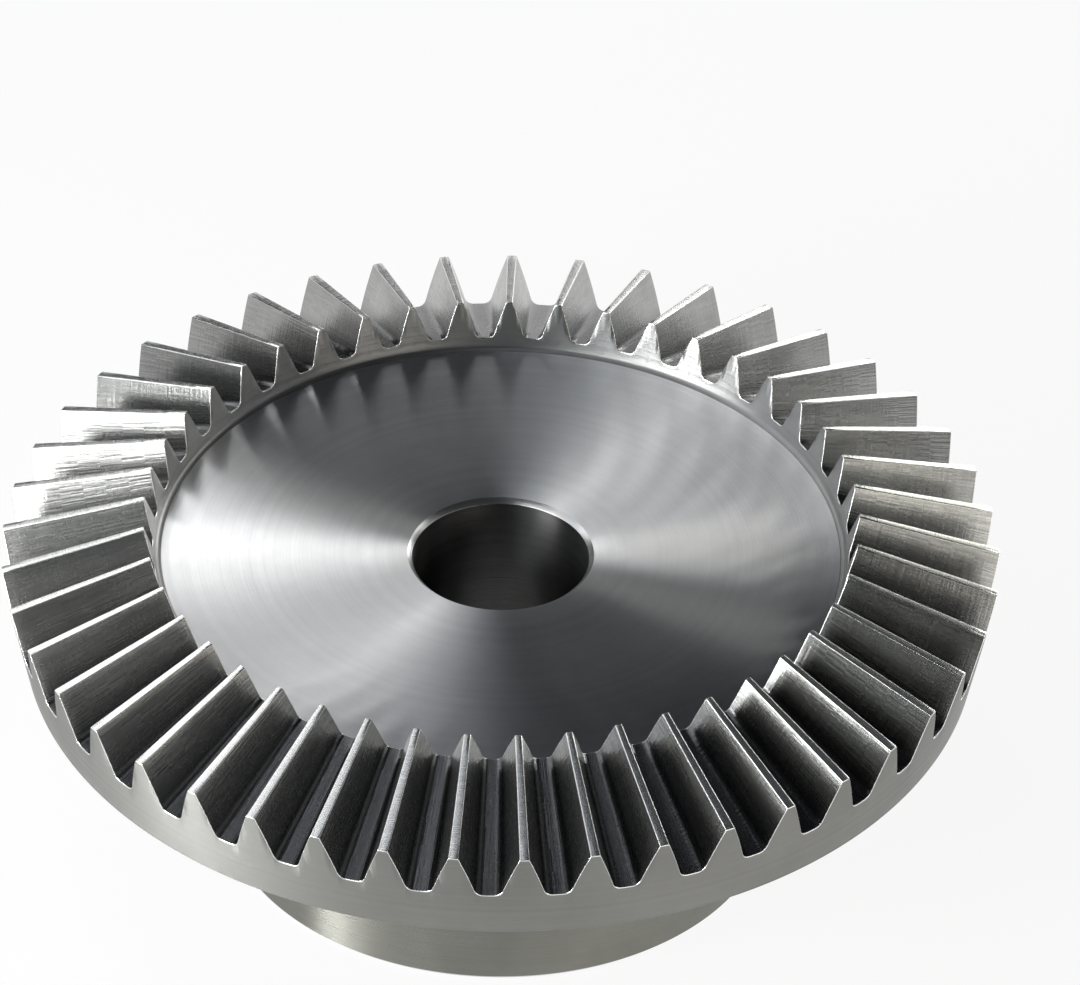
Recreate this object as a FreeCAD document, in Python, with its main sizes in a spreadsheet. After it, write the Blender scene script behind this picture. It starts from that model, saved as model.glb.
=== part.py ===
import FreeCAD, Part
import math
import os

import Sketcher

# A straight bevel wheel with an integral hub, turned and cut from one steel blank.
# Millimetres and degrees. The bore runs along +Z and the hub's flat back face lies on Z = 0.
# The teeth point up, and every tooth line meets the bore axis at the cone apex.
# The profile across the teeth is drawn square to the pitch cone at its large end.
SIZES = (
    ("tooth_module", 2.0, "module at the large end"),
    ("tooth_count", 45, "teeth of this wheel"),
    ("mate_tooth_count", 15, "teeth of the mating wheel, which sets the cone angle"),
    ("pressure_angle", 20.0, "slope of the flanks at the pitch cone"),
    ("tooth_thickness", 1.5, "tooth across the pitch cone at the large end"),
    ("addendum", 0.9, "tooth height above the pitch cone at the large end"),
    ("dedendum", 3.9, "gap depth below the pitch cone at the large end"),
    ("face_width", 13.5, "length of a tooth along the pitch cone"),
    ("mounting_distance", 44.0, "cone apex above the hub's back face"),
    ("heel_face_angle", 12.0, "lean of the outer end face away from the bore axis"),
    ("toe_face_angle", 15.0, "lean of the inner end face away from the bore axis"),
    ("rim_web", 5.3, "steel between the gap floor at the large end and the flat back of the rim"),
    ("disc_recess", 1.12, "front face of the disc below the gap floor at the small end"),
    ("disc_corner_fillet", 0.6, "radius between the disc and the inner end face"),
    ("rim_chamfer", 0.3, "broken edge at the back of the rim"),
    ("hub_diameter", 50.0, "hub across its cylinder"),
    ("hub_chamfer", 0.5, "broken edge at the back of the hub"),
    ("bore_diameter", 16.0, "plain through bore"),
    ("bore_chamfer", 0.45, "broken edge at both ends of the bore"),
    ("cut_overrun", 2.0, "how far each tooth gap is cut past the blank"),
)
VALUE = {name: value for name, value, note in SIZES}

# Derived sizes, each as a number that places the first draft of a sketch
# and as the expression that then drives it.
PITCH_RADIUS = VALUE["tooth_module"] * VALUE["tooth_count"] / 2
PITCH_CONE_HEIGHT = VALUE["tooth_module"] * VALUE["mate_tooth_count"] / 2
CONE_DISTANCE = math.hypot(PITCH_RADIUS, PITCH_CONE_HEIGHT)
PITCH_ANGLE = math.atan2(PITCH_RADIUS, PITCH_CONE_HEIGHT)

PITCH_RADIUS_EXPR = "sizes.tooth_module * sizes.tooth_count / 2"
PITCH_CONE_HEIGHT_EXPR = "sizes.tooth_module * sizes.mate_tooth_count / 2"
CONE_DISTANCE_EXPR = f"hypot({PITCH_RADIUS_EXPR}; {PITCH_CONE_HEIGHT_EXPR})"
PITCH_ANGLE_EXPR = f"atan({PITCH_RADIUS_EXPR} / ({PITCH_CONE_HEIGHT_EXPR}))"

# How a sketch numbers its own axes and the points of an edge.
SKETCH_X_AXIS, SKETCH_Y_AXIS = range(-1, -3, -1)
START, END, CENTRE = range(1, 4)
ORIGIN_POINT = (SKETCH_X_AXIS, START)
SAME_PLACE = 1e-4


def make_sheet(doc):
    """The driving dimensions, one named cell each."""
    sheet = doc.addObject("Spreadsheet::Sheet", "sizes")
    for row, (name, value, note) in enumerate(SIZES, start=1):
        sheet.set(f"A{row}", note)
        sheet.set(f"B{row}", str(value))
        sheet.setAlias(f"B{row}", name)
    doc.recompute()
    return sheet


def origin_feature(body, role):
    """One of the body's own base planes or axes."""
    for feature in body.Origin.OriginFeatures:
        if feature.Role == role:
            return feature
    raise RuntimeError(f"no origin feature {role}")


def new_sketch(body, name, plane_role):
    """An empty sketch on one of the body's base planes."""
    sketch = body.newObject("Sketcher::SketchObject", name)
    sketch.AttachmentSupport = [(origin_feature(body, plane_role), "")]
    sketch.MapMode = "FlatFace"
    return sketch


def add_line(sketch, start, end, construction=False):
    """A straight edge between two (x, y) points; gives its index."""
    edge = Part.LineSegment(FreeCAD.Vector(*start, 0), FreeCAD.Vector(*end, 0))
    return sketch.addGeometry(edge, construction)


def add_arc(sketch, centre, start, end):
    """A counter-clockwise arc about a centre from one (x, y) point to another; gives its index."""
    radius = math.dist(centre, start)
    first = math.atan2(start[1] - centre[1], start[0] - centre[0])
    last = math.atan2(end[1] - centre[1], end[0] - centre[0])
    circle = Part.Circle(FreeCAD.Vector(*centre, 0), FreeCAD.Vector(0, 0, 1), radius)
    return sketch.addGeometry(Part.ArcOfCircle(circle, first, last), False)


def constrain(sketch, *definition):
    """A geometric constraint."""
    sketch.addConstraint(Sketcher.Constraint(*definition))


def drive(sketch, name, expression, *definition):
    """A named dimension that follows an expression of the sheet."""
    index = sketch.addConstraint(Sketcher.Constraint(*definition))
    sketch.renameConstraint(index, name)
    sketch.setExpression(f"Constraints.{name}", expression)


def point_along(start, angle, length):
    """The (radius, height) reached from a point; the angle is measured from straight up."""
    return (start[0] + length * math.sin(angle), start[1] + length * math.cos(angle))


def crossing(first, first_angle, second, second_angle):
    """Where two lines meet, each given by a point and its angle from straight up."""
    ax, ay = math.sin(first_angle), math.cos(first_angle)
    bx, by = math.sin(second_angle), math.cos(second_angle)
    dx, dy = second[0] - first[0], second[1] - first[1]
    length = (dx * by - dy * bx) / (ax * by - ay * bx)
    return point_along(first, first_angle, length)


def blank_points():
    """Named (radius, height) points of the blank's half section."""
    heel_lean = math.radians(VALUE["heel_face_angle"])
    toe_lean = math.radians(VALUE["toe_face_angle"])
    across = math.pi / 2 - PITCH_ANGLE
    toe_scale = 1 - VALUE["face_width"] / CONE_DISTANCE
    apex = (0.0, VALUE["mounting_distance"])
    pitch_heel = (PITCH_RADIUS, apex[1] - PITCH_CONE_HEIGHT)
    pitch_toe = point_along(pitch_heel, -PITCH_ANGLE, VALUE["face_width"])
    tip_mark = point_along(pitch_heel, across, VALUE["addendum"])
    floor_heel = point_along(pitch_heel, across, -VALUE["dedendum"])
    floor_toe = point_along(pitch_toe, across, -VALUE["dedendum"] * toe_scale)
    outward = math.pi - PITCH_ANGLE - math.atan(VALUE["addendum"] / CONE_DISTANCE)
    back = floor_heel[1] - VALUE["rim_web"]
    disc = floor_toe[1] - VALUE["disc_recess"]
    return {
        "apex": apex,
        "pitch_heel": pitch_heel,
        "pitch_toe": pitch_toe,
        "tip_mark": tip_mark,
        "floor_heel": floor_heel,
        "floor_toe": floor_toe,
        "heel_tip": crossing(apex, outward, pitch_heel, heel_lean),
        "toe_tip": crossing(apex, outward, pitch_toe, toe_lean),
        "rim_back": crossing((0.0, back), math.pi / 2, pitch_heel, heel_lean),
        "disc_edge": crossing((0.0, disc), math.pi / 2, pitch_toe, toe_lean),
        "hub_back": (VALUE["hub_diameter"] / 2, 0.0),
        "hub_top": (VALUE["hub_diameter"] / 2, back),
        "disc_centre": (0.0, disc),
    }


def draw_blank(body):
    """Half section of the blank, from the bore axis out to the tips of the teeth."""
    at = blank_points()
    sketch = new_sketch(body, "blank_section", "XZ_Plane")
    hub_back = add_line(sketch, (0.0, 0.0), at["hub_back"])
    hub_side = add_line(sketch, at["hub_back"], at["hub_top"])
    rim_under = add_line(sketch, at["hub_top"], at["rim_back"])
    heel_face = add_line(sketch, at["rim_back"], at["heel_tip"])
    tip_line = add_line(sketch, at["heel_tip"], at["toe_tip"])
    toe_face = add_line(sketch, at["disc_edge"], at["toe_tip"])
    disc_face = add_line(sketch, at["disc_edge"], at["disc_centre"])
    axis_line = add_line(sketch, at["disc_centre"], (0.0, 0.0))
    pitch_line = add_line(sketch, at["apex"], at["pitch_heel"], construction=True)
    width_line = add_line(sketch, at["pitch_heel"], at["pitch_toe"], construction=True)
    addendum_line = add_line(sketch, at["pitch_heel"], at["tip_mark"], construction=True)
    floor_line = add_line(sketch, at["apex"], at["floor_heel"], construction=True)
    heel_depth = add_line(sketch, at["pitch_heel"], at["floor_heel"], construction=True)
    toe_depth = add_line(sketch, at["pitch_toe"], at["floor_toe"], construction=True)

    constrain(sketch, "Coincident", hub_back, START, *ORIGIN_POINT)
    constrain(sketch, "Coincident", hub_back, END, hub_side, START)
    constrain(sketch, "Coincident", hub_side, END, rim_under, START)
    constrain(sketch, "Coincident", rim_under, END, heel_face, START)
    constrain(sketch, "Coincident", heel_face, END, tip_line, START)
    constrain(sketch, "Coincident", tip_line, END, toe_face, END)
    constrain(sketch, "Coincident", toe_face, START, disc_face, START)
    constrain(sketch, "Coincident", disc_face, END, axis_line, START)
    constrain(sketch, "Coincident", axis_line, END, hub_back, START)
    constrain(sketch, "Horizontal", hub_back)
    constrain(sketch, "Vertical", hub_side)
    constrain(sketch, "Horizontal", rim_under)
    constrain(sketch, "Horizontal", disc_face)
    constrain(sketch, "Vertical", axis_line)
    constrain(sketch, "PointOnObject", pitch_line, START, SKETCH_Y_AXIS)
    constrain(sketch, "Coincident", width_line, START, pitch_line, END)
    constrain(sketch, "PointOnObject", width_line, END, pitch_line)
    constrain(sketch, "Coincident", addendum_line, START, pitch_line, END)
    constrain(sketch, "Perpendicular", addendum_line, pitch_line)
    constrain(sketch, "Coincident", heel_depth, START, pitch_line, END)
    constrain(sketch, "Perpendicular", heel_depth, pitch_line)
    constrain(sketch, "Coincident", floor_line, START, pitch_line, START)
    constrain(sketch, "Coincident", floor_line, END, heel_depth, END)
    constrain(sketch, "Coincident", toe_depth, START, width_line, END)
    constrain(sketch, "Perpendicular", toe_depth, pitch_line)
    constrain(sketch, "PointOnObject", toe_depth, END, floor_line)
    constrain(sketch, "PointOnObject", pitch_line, END, heel_face)
    constrain(sketch, "PointOnObject", width_line, END, toe_face)
    constrain(sketch, "PointOnObject", pitch_line, START, tip_line)
    constrain(sketch, "PointOnObject", addendum_line, END, tip_line)

    drive(sketch, "hub_radius", "sizes.hub_diameter / 2",
          "DistanceX", *ORIGIN_POINT, hub_back, END, at["hub_back"][0])
    drive(sketch, "apex_height", "sizes.mounting_distance",
          "DistanceY", *ORIGIN_POINT, pitch_line, START, at["apex"][1])
    drive(sketch, "pitch_radius", PITCH_RADIUS_EXPR,
          "DistanceX", *ORIGIN_POINT, pitch_line, END, PITCH_RADIUS)
    drive(sketch, "pitch_cone_height", PITCH_CONE_HEIGHT_EXPR,
          "DistanceY", pitch_line, END, pitch_line, START, PITCH_CONE_HEIGHT)
    drive(sketch, "face_width", "sizes.face_width",
          "Distance", width_line, VALUE["face_width"])
    drive(sketch, "addendum", "sizes.addendum",
          "Distance", addendum_line, VALUE["addendum"])
    drive(sketch, "dedendum", "sizes.dedendum",
          "Distance", heel_depth, VALUE["dedendum"])
    drive(sketch, "rim_web", "sizes.rim_web",
          "DistanceY", hub_side, END, heel_depth, END, VALUE["rim_web"])
    drive(sketch, "disc_recess", "sizes.disc_recess",
          "DistanceY", disc_face, END, toe_depth, END, VALUE["disc_recess"])
    drive(sketch, "heel_slope", "90 - sizes.heel_face_angle",
          "Angle", heel_face, math.pi / 2 - math.radians(VALUE["heel_face_angle"]))
    drive(sketch, "toe_slope", "90 - sizes.toe_face_angle",
          "Angle", toe_face, math.pi / 2 - math.radians(VALUE["toe_face_angle"]))
    return sketch


def turn_blank(body):
    """The blank, turned about the bore axis."""
    sketch = draw_blank(body)
    blank = body.newObject("PartDesign::Revolution", "blank")
    blank.Profile = sketch
    blank.ReferenceAxis = (sketch, ["V_Axis"])
    blank.Angle = 360.0
    body.Document.recompute()
    return blank


def drill_bore(body, blank):
    """The plain bore, right through from the hub's back face."""
    sketch = new_sketch(body, "bore_circle", "XY_Plane")
    radius = VALUE["bore_diameter"] / 2
    circle = Part.Circle(FreeCAD.Vector(0, 0, 0), FreeCAD.Vector(0, 0, 1), radius)
    index = sketch.addGeometry(circle, False)
    constrain(sketch, "Coincident", index, CENTRE, *ORIGIN_POINT)
    drive(sketch, "bore_radius", "sizes.bore_diameter / 2", "Radius", index, radius)
    bore = body.newObject("PartDesign::Pocket", "bore")
    bore.Profile = sketch
    bore.Type = "ThroughAll"
    bore.Reversed = True
    body.Document.recompute()
    if bore.Shape.Volume >= blank.Shape.Volume:
        raise RuntimeError("the bore cut nothing")
    return bore


def ring_edges(shape, radius, height):
    """Names of the full circles about the bore axis with this radius and height."""
    names = []
    for number, edge in enumerate(shape.Edges, start=1):
        if not isinstance(edge.Curve, Part.Circle):
            continue
        same_radius = abs(edge.Curve.Radius - radius) < SAME_PLACE
        same_height = abs(edge.Curve.Center.z - height) < SAME_PLACE
        if same_radius and same_height:
            names.append(f"Edge{number}")
    if not names:
        raise RuntimeError(f"no ring edge of radius {radius} at height {height}")
    return names


def dress_edges(body, kind, name, base, rings, size_name):
    """A chamfer or fillet of one named size on rings of a feature, given as (radius, height)."""
    names = [edge for radius, height in rings for edge in ring_edges(base.Shape, radius, height)]
    feature = body.newObject(f"PartDesign::{kind}", name)
    feature.Base = (base, names)
    feature.setExpression("Size" if kind == "Chamfer" else "Radius", f"sizes.{size_name}")
    body.Document.recompute()
    return feature


def finish_blank(body, bore):
    """The inside corner and the broken edges of the turned blank."""
    at = blank_points()
    bore_radius = VALUE["bore_diameter"] / 2
    bore_ends = [(bore_radius, 0.0), (bore_radius, at["disc_centre"][1])]
    last = dress_edges(body, "Fillet", "disc_corner", bore, [at["disc_edge"]], "disc_corner_fillet")
    last = dress_edges(body, "Chamfer", "rim_edge", last, [at["rim_back"]], "rim_chamfer")
    last = dress_edges(body, "Chamfer", "hub_edge", last, [at["hub_back"]], "hub_chamfer")
    return dress_edges(body, "Chamfer", "bore_edges", last, bore_ends, "bore_chamfer")


def draw_gap(body, name, distance, distance_expr):
    """Section of one tooth gap, square to the pitch cone at a distance from the apex.

    The sketch's origin is on the pitch cone and its Y axis points out of the gap. Each flank is
    the arc that matches an involute at the pitch cone, and all sizes shrink towards the apex.
    """
    scale = distance / CONE_DISTANCE
    scale_expr = f"(({distance_expr}) / {CONE_DISTANCE_EXPR})"
    virtual_radius = CONE_DISTANCE * math.tan(PITCH_ANGLE)
    pressure = math.radians(VALUE["pressure_angle"])
    half_gap = (math.pi * VALUE["tooth_module"] - VALUE["tooth_thickness"]) / 2
    slope = pressure + half_gap / virtual_radius
    flank_radius = virtual_radius * math.sin(pressure) * scale
    depth = VALUE["dedendum"] * scale
    top = (VALUE["addendum"] + VALUE["cut_overrun"]) * scale
    centre_x = half_gap * scale + flank_radius * math.cos(slope)
    centre_y = -flank_radius * math.sin(slope)
    foot_x = centre_x - math.sqrt(flank_radius ** 2 - (-depth - centre_y) ** 2)
    top_x = centre_x - math.sqrt(flank_radius ** 2 - (top - centre_y) ** 2)

    virtual_expr = f"({CONE_DISTANCE_EXPR} * tan({PITCH_ANGLE_EXPR}))"
    half_gap_expr = "((pi * sizes.tooth_module - sizes.tooth_thickness) / 2)"
    slope_expr = f"(sizes.pressure_angle * 1 deg + {half_gap_expr} / {virtual_expr} * 1 rad)"
    radius_expr = f"({virtual_expr} * sin(sizes.pressure_angle * 1 deg) * {scale_expr})"

    sketch = new_sketch(body, name, "XZ_Plane")
    sketch.AttachmentOffset = FreeCAD.Placement(
        FreeCAD.Vector(0, 0, 0), FreeCAD.Rotation(FreeCAD.Vector(1, 0, 0), 1.0))
    sketch.setExpression("AttachmentOffset.Base.y",
                         f"sizes.mounting_distance - ({distance_expr}) * cos({PITCH_ANGLE_EXPR})")
    sketch.setExpression("AttachmentOffset.Base.z",
                         f"({distance_expr}) * sin({PITCH_ANGLE_EXPR})")
    sketch.setExpression("AttachmentOffset.Rotation.Angle",
                         f"90 deg - {PITCH_ANGLE_EXPR}")

    root = add_line(sketch, (-foot_x, -depth), (foot_x, -depth))
    right_flank = add_arc(sketch, (centre_x, centre_y), (top_x, top), (foot_x, -depth))
    mouth = add_line(sketch, (top_x, top), (-top_x, top))
    left_flank = add_arc(sketch, (-centre_x, centre_y), (-foot_x, -depth), (-top_x, top))

    constrain(sketch, "Coincident", root, END, right_flank, END)
    constrain(sketch, "Coincident", right_flank, START, mouth, START)
    constrain(sketch, "Coincident", mouth, END, left_flank, END)
    constrain(sketch, "Coincident", left_flank, START, root, START)
    constrain(sketch, "Horizontal", mouth)
    constrain(sketch, "Horizontal", root)
    constrain(sketch, "Equal", right_flank, left_flank)
    constrain(sketch, "Symmetric", right_flank, CENTRE, left_flank, CENTRE, SKETCH_Y_AXIS)

    drive(sketch, "flank_radius", radius_expr, "Radius", right_flank, flank_radius)
    drive(sketch, "flank_centre_side",
          f"{half_gap_expr} * {scale_expr} + {radius_expr} * cos({slope_expr})",
          "DistanceX", *ORIGIN_POINT, right_flank, CENTRE, centre_x)
    drive(sketch, "flank_centre_drop", f"{radius_expr} * sin({slope_expr})",
          "DistanceY", right_flank, CENTRE, *ORIGIN_POINT, -centre_y)
    drive(sketch, "depth", f"sizes.dedendum * {scale_expr}",
          "DistanceY", root, START, *ORIGIN_POINT, depth)
    drive(sketch, "mouth_height", f"(sizes.addendum + sizes.cut_overrun) * {scale_expr}",
          "DistanceY", *ORIGIN_POINT, mouth, START, top)
    return sketch


def cut_teeth(body, blank):
    """One tooth gap lofted towards the apex, repeated round the bore axis."""
    overrun = VALUE["cut_overrun"]
    heel = draw_gap(body, "gap_at_heel", CONE_DISTANCE + overrun,
                    f"{CONE_DISTANCE_EXPR} + sizes.cut_overrun")
    toe = draw_gap(body, "gap_at_toe", CONE_DISTANCE - VALUE["face_width"] - overrun,
                   f"{CONE_DISTANCE_EXPR} - sizes.face_width - sizes.cut_overrun")
    gap = body.newObject("PartDesign::SubtractiveLoft", "tooth_gap")
    gap.Profile = heel
    gap.Sections = [toe]
    gap.Ruled = True
    body.Document.recompute()
    if gap.Shape.Volume >= blank.Shape.Volume:
        raise RuntimeError("the tooth gap cut nothing")
    pattern = body.newObject("PartDesign::PolarPattern", "tooth_gaps")
    pattern.Originals = [gap]
    pattern.Axis = (origin_feature(body, "Z_Axis"), [""])
    pattern.Angle = 360.0
    pattern.setExpression("Occurrences", "sizes.tooth_count")
    body.Tip = pattern
    body.Document.recompute()
    return pattern


def make_gear(doc):
    """The whole wheel as one body."""
    body = doc.addObject("PartDesign::Body", "bevel_gear")
    body.Label = "bevel_gear"
    blank = turn_blank(body)
    bore = drill_bore(body, blank)
    finished = finish_blank(body, bore)
    cut_teeth(body, finished)
    return body


def check(doc, bodies):
    """Stops when any feature failed or a piece is not one sound solid."""
    for item in doc.Objects:
        if "Invalid" in item.State or "Error" in item.State:
            raise RuntimeError(f"{item.Name} failed: {item.State}")
    for body in bodies:
        shape = body.Shape
        if shape.isNull() or not shape.isValid():
            raise RuntimeError(f"{body.Label} has no valid shape")
        if len(shape.Solids) != 1:
            raise RuntimeError(f"{body.Label} has {len(shape.Solids)} solids")


def main():
    """Builds the document and writes one file for each piece."""
    doc = FreeCAD.newDocument("bevel_gear_part")
    make_sheet(doc)
    bodies = [make_gear(doc)]
    doc.recompute()
    check(doc, bodies)
    os.makedirs("parts", exist_ok=True)
    for body in bodies:
        body.Shape.exportStep(f"parts/{body.Label}.step")
        box = body.Shape.BoundBox
        print(f"{body.Label}: {body.Shape.Volume:.1f} mm3, {box.XLength:.3f} x {box.YLength:.3f}"
              f" x {box.ZLength:.3f} mm")


main()
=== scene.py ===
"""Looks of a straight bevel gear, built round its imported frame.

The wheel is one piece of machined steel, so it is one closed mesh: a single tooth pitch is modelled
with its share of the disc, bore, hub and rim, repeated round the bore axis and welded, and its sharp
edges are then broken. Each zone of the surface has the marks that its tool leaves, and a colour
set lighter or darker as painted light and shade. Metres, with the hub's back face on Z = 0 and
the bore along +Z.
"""

import logging
import math
from dataclasses import dataclass, field
from enum import Enum
from typing import Any

import bpy
from mathutils import Matrix, Vector


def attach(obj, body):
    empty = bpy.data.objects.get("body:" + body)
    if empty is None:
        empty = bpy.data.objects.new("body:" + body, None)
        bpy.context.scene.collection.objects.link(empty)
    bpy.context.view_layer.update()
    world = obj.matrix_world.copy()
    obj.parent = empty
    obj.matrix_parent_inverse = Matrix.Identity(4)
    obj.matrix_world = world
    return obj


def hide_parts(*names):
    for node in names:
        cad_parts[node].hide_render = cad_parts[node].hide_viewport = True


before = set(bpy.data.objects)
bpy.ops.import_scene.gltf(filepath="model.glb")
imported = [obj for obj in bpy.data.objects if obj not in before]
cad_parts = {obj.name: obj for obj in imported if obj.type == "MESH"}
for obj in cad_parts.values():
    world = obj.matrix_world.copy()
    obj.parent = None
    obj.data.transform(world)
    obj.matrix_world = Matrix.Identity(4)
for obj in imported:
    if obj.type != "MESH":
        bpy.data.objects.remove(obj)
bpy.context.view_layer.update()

MM = 0.001
NODE = "bevel_gear"
MARKS_UV = "marks"
ZONE_ATTRIBUTE = "zone"
TOOTH_ATTRIBUTE = "tooth_shade"
LEVEL_ATTRIBUTE = "level"
WELD_DISTANCE = 0.0002 * MM
NEIGHBOUR_MATERIAL = -1

# Bare steel: cells of its clouds and grain for each metre, the noise between which a cloud fades
# in, and how much of each effect comes from the first thing named and not from the other.
CLOUD_SCALE = 120.0
GRAIN_SCALE = 2600.0
CLOUD_EDGES = (0.35, 0.7)
CLOUDS_OVER_MARKS_IN_STAINS = 0.55
CLOUDS_OVER_MARKS_IN_ROUGHNESS = 0.7
MARKS_OVER_GRAIN_IN_RELIEF = 0.85
QUARTER_TURN = 0.25

# How many quads the wheel's mesh has along each stretch of one tooth pitch.
LENGTH_STEPS = 6
FILLET_STEPS = 4
FLANK_STEPS = 5
TOE_FACE_STEPS = 2
CORNER_STEPS = 3
DISC_STEPS = 7
BORE_STEPS = 3
BACK_STEPS = 3
HUB_STEPS = 4
HEEL_FACE_STEPS = 3

# Watts for each square metre of a lamp's face that make it as bright as white paper.
PAPER_WHITE_WATTS = 4.0

log = logging.getLogger("bevel_gear_scene")

Colour = tuple[float, float, float]
# Side and height.
Point = tuple[float, float]
# Angle about the bore axis from the tooth's middle, radius and height.
PolarPoint = tuple[float, float, float]
# Angle as above, and the way outwards and downwards for each unit of cone distance.
Ray = tuple[float, float, float]


class Zone(Enum):
    """Zones of the wheel, each left by a different tool."""

    FLANK = 0
    TIP = 1
    TOE_FACE = 2
    DISC = 3
    CHAMFER = 4
    BORE = 5
    BACK = 6
    HUB = 7
    HEEL_FACE = 8


class Nodes:
    """Adds and joins the nodes of one shader or geometry tree."""

    def __init__(self, tree: bpy.types.NodeTree) -> None:
        """Starts from an emptied node tree."""
        self.tree = tree
        tree.nodes.clear()

    def add(self, kind: str, inputs: dict[Any, Any] | None = None, **settings: Any) -> bpy.types.Node:
        """Adds one node.

        Args:
            kind: The node's type name.
            inputs: Values or output sockets for its inputs, by name or number.
            settings: Properties of the node itself.

        Returns:
            The new node.
        """
        node = self.tree.nodes.new(kind)
        for name, value in settings.items():
            setattr(node, name, value)
        for key, value in (inputs or {}).items():
            if isinstance(value, bpy.types.NodeSocket):
                self.tree.links.new(value, node.inputs[key])
            else:
                node.inputs[key].default_value = value
        return node

    def math(self, operation: str, *values: Any, clamp: bool = False) -> bpy.types.NodeSocket:
        """Adds a Math node for numbers or sockets; clamp keeps its result between 0 and 1."""
        inputs = dict(enumerate(values))
        return self.add("ShaderNodeMath", inputs, operation=operation, use_clamp=clamp).outputs[0]

    def blend(self, share: Any, first: Any, second: Any) -> bpy.types.NodeSocket:
        """Mixes two colours, of which the second has the given share."""
        node = self.add("ShaderNodeMix", {0: share, 6: first, 7: second}, data_type="RGBA")
        return node.outputs[2]

    def weigh(self, share: float, first: Any, second: Any) -> bpy.types.NodeSocket:
        """Sums two values, of which the first has the given share and the second the rest."""
        rest = self.math("MULTIPLY", second, 1.0 - share)
        return self.math("ADD", self.math("MULTIPLY", first, share), rest)

    def remap(self, value: Any, low: float, high: float, to_low: float = 0.0,
              to_high: float = 1.0) -> bpy.types.NodeSocket:
        """Maps the range from low to high onto another, with its ends held."""
        node = self.add("ShaderNodeMapRange", {0: value, 1: low, 2: high, 3: to_low, 4: to_high})
        return node.outputs[0]

    def noise(self, place: Any, scale: float, detail: float, roughness: float = 0.5,
              dimensions: str = "3D") -> bpy.types.NodeSocket:
        """Adds a noise.

        Args:
            place: Where it is read, a vector in 3D and a number in 1D.
            scale: Its cells for each unit of the place.
            detail: How many finer layers it has.
            roughness: How strongly the finer layers show.
            dimensions: "3D" or "1D".

        Returns:
            The noise, which swings about 0.5.
        """
        key = "W" if dimensions == "1D" else "Vector"
        values = {key: place, "Scale": scale, "Detail": detail, "Roughness": roughness}
        return self.add("ShaderNodeTexNoise", values, noise_dimensions=dimensions).outputs["Fac"]


def rgba(colour: Colour) -> tuple[float, float, float, float]:
    """A colour with full alpha."""
    return (*colour, 1.0)


@dataclass(frozen=True)
class SteelFinish:
    """Bare steel with the marks of one tool.

    Attributes:
        name: The material's name.
        colour: Reflected colour, set lighter or darker for its zone as painted light and shade.
        dark: Colour in the valleys and stains of the surface, and of any painted shade.
        roughness: Mean roughness.
        roughness_swing: How far the roughness strays from its mean.
        anisotropy: Stretch of the highlight across the tool marks.
        mark_pitch: Distance between tool marks, in metres.
        mark_depth: Strength of the marks' relief.
        stain: How far the colour strays towards the dark one.
    """

    name: str
    colour: Colour
    dark: Colour
    roughness: float
    roughness_swing: float
    anisotropy: float
    mark_pitch: float
    mark_depth: float
    stain: float

    def marks(self, nodes: Nodes) -> bpy.types.NodeSocket:
        """Height of the tool marks, from 0 to 1."""
        raise NotImplementedError

    def painted_shade(self, nodes: Nodes) -> bpy.types.NodeSocket | float:
        """Share of painted shade over the steel, none unless a finish darkens where shade falls."""
        return 0.0

    def build(self) -> bpy.types.Material:
        """Makes the material.

        Returns:
            The new material.
        """
        material = bpy.data.materials.new(self.name)
        material.use_nodes = True
        nodes = Nodes(material.node_tree)
        place = nodes.add("ShaderNodeTexCoord").outputs["Object"]
        marks = self.marks(nodes)
        cloud = nodes.noise(place, CLOUD_SCALE, 5.0, roughness=0.6)
        grain = nodes.noise(place, GRAIN_SCALE, 2.0)
        cover = nodes.remap(cloud, *CLOUD_EDGES)
        stains = nodes.weigh(CLOUDS_OVER_MARKS_IN_STAINS, cover, marks)
        worn = nodes.math("MULTIPLY", stains, self.stain, clamp=True)
        # Stains, and painted shade where the finish adds it, pull the colour towards the dark one.
        stains_and_shade = nodes.math("MAXIMUM", worn, self.painted_shade(nodes))
        colour = nodes.blend(stains_and_shade, rgba(self.colour), rgba(self.dark))
        uneven = nodes.weigh(CLOUDS_OVER_MARKS_IN_ROUGHNESS, cloud, marks)
        swing = nodes.math("SUBTRACT", uneven, 0.5)
        roughness = nodes.math("MULTIPLY_ADD", swing, 2.0 * self.roughness_swing, self.roughness,
                               clamp=True)
        relief = nodes.weigh(MARKS_OVER_GRAIN_IN_RELIEF, marks, grain)
        bump = nodes.add("ShaderNodeBump", {"Height": relief, "Strength": self.mark_depth,
                                            "Distance": self.mark_pitch})
        tangent = nodes.add("ShaderNodeTangent", direction_type="UV_MAP", uv_map=MARKS_UV)
        shader = nodes.add("ShaderNodeBsdfPrincipled", {
            "Base Color": colour, "Metallic": 1.0, "Roughness": roughness,
            "Anisotropic": self.anisotropy, "Anisotropic Rotation": QUARTER_TURN,
            "Normal": bump.outputs["Normal"], "Tangent": tangent.outputs["Tangent"]})
        nodes.add("ShaderNodeOutputMaterial", {"Surface": shader.outputs["BSDF"]})
        return material


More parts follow.
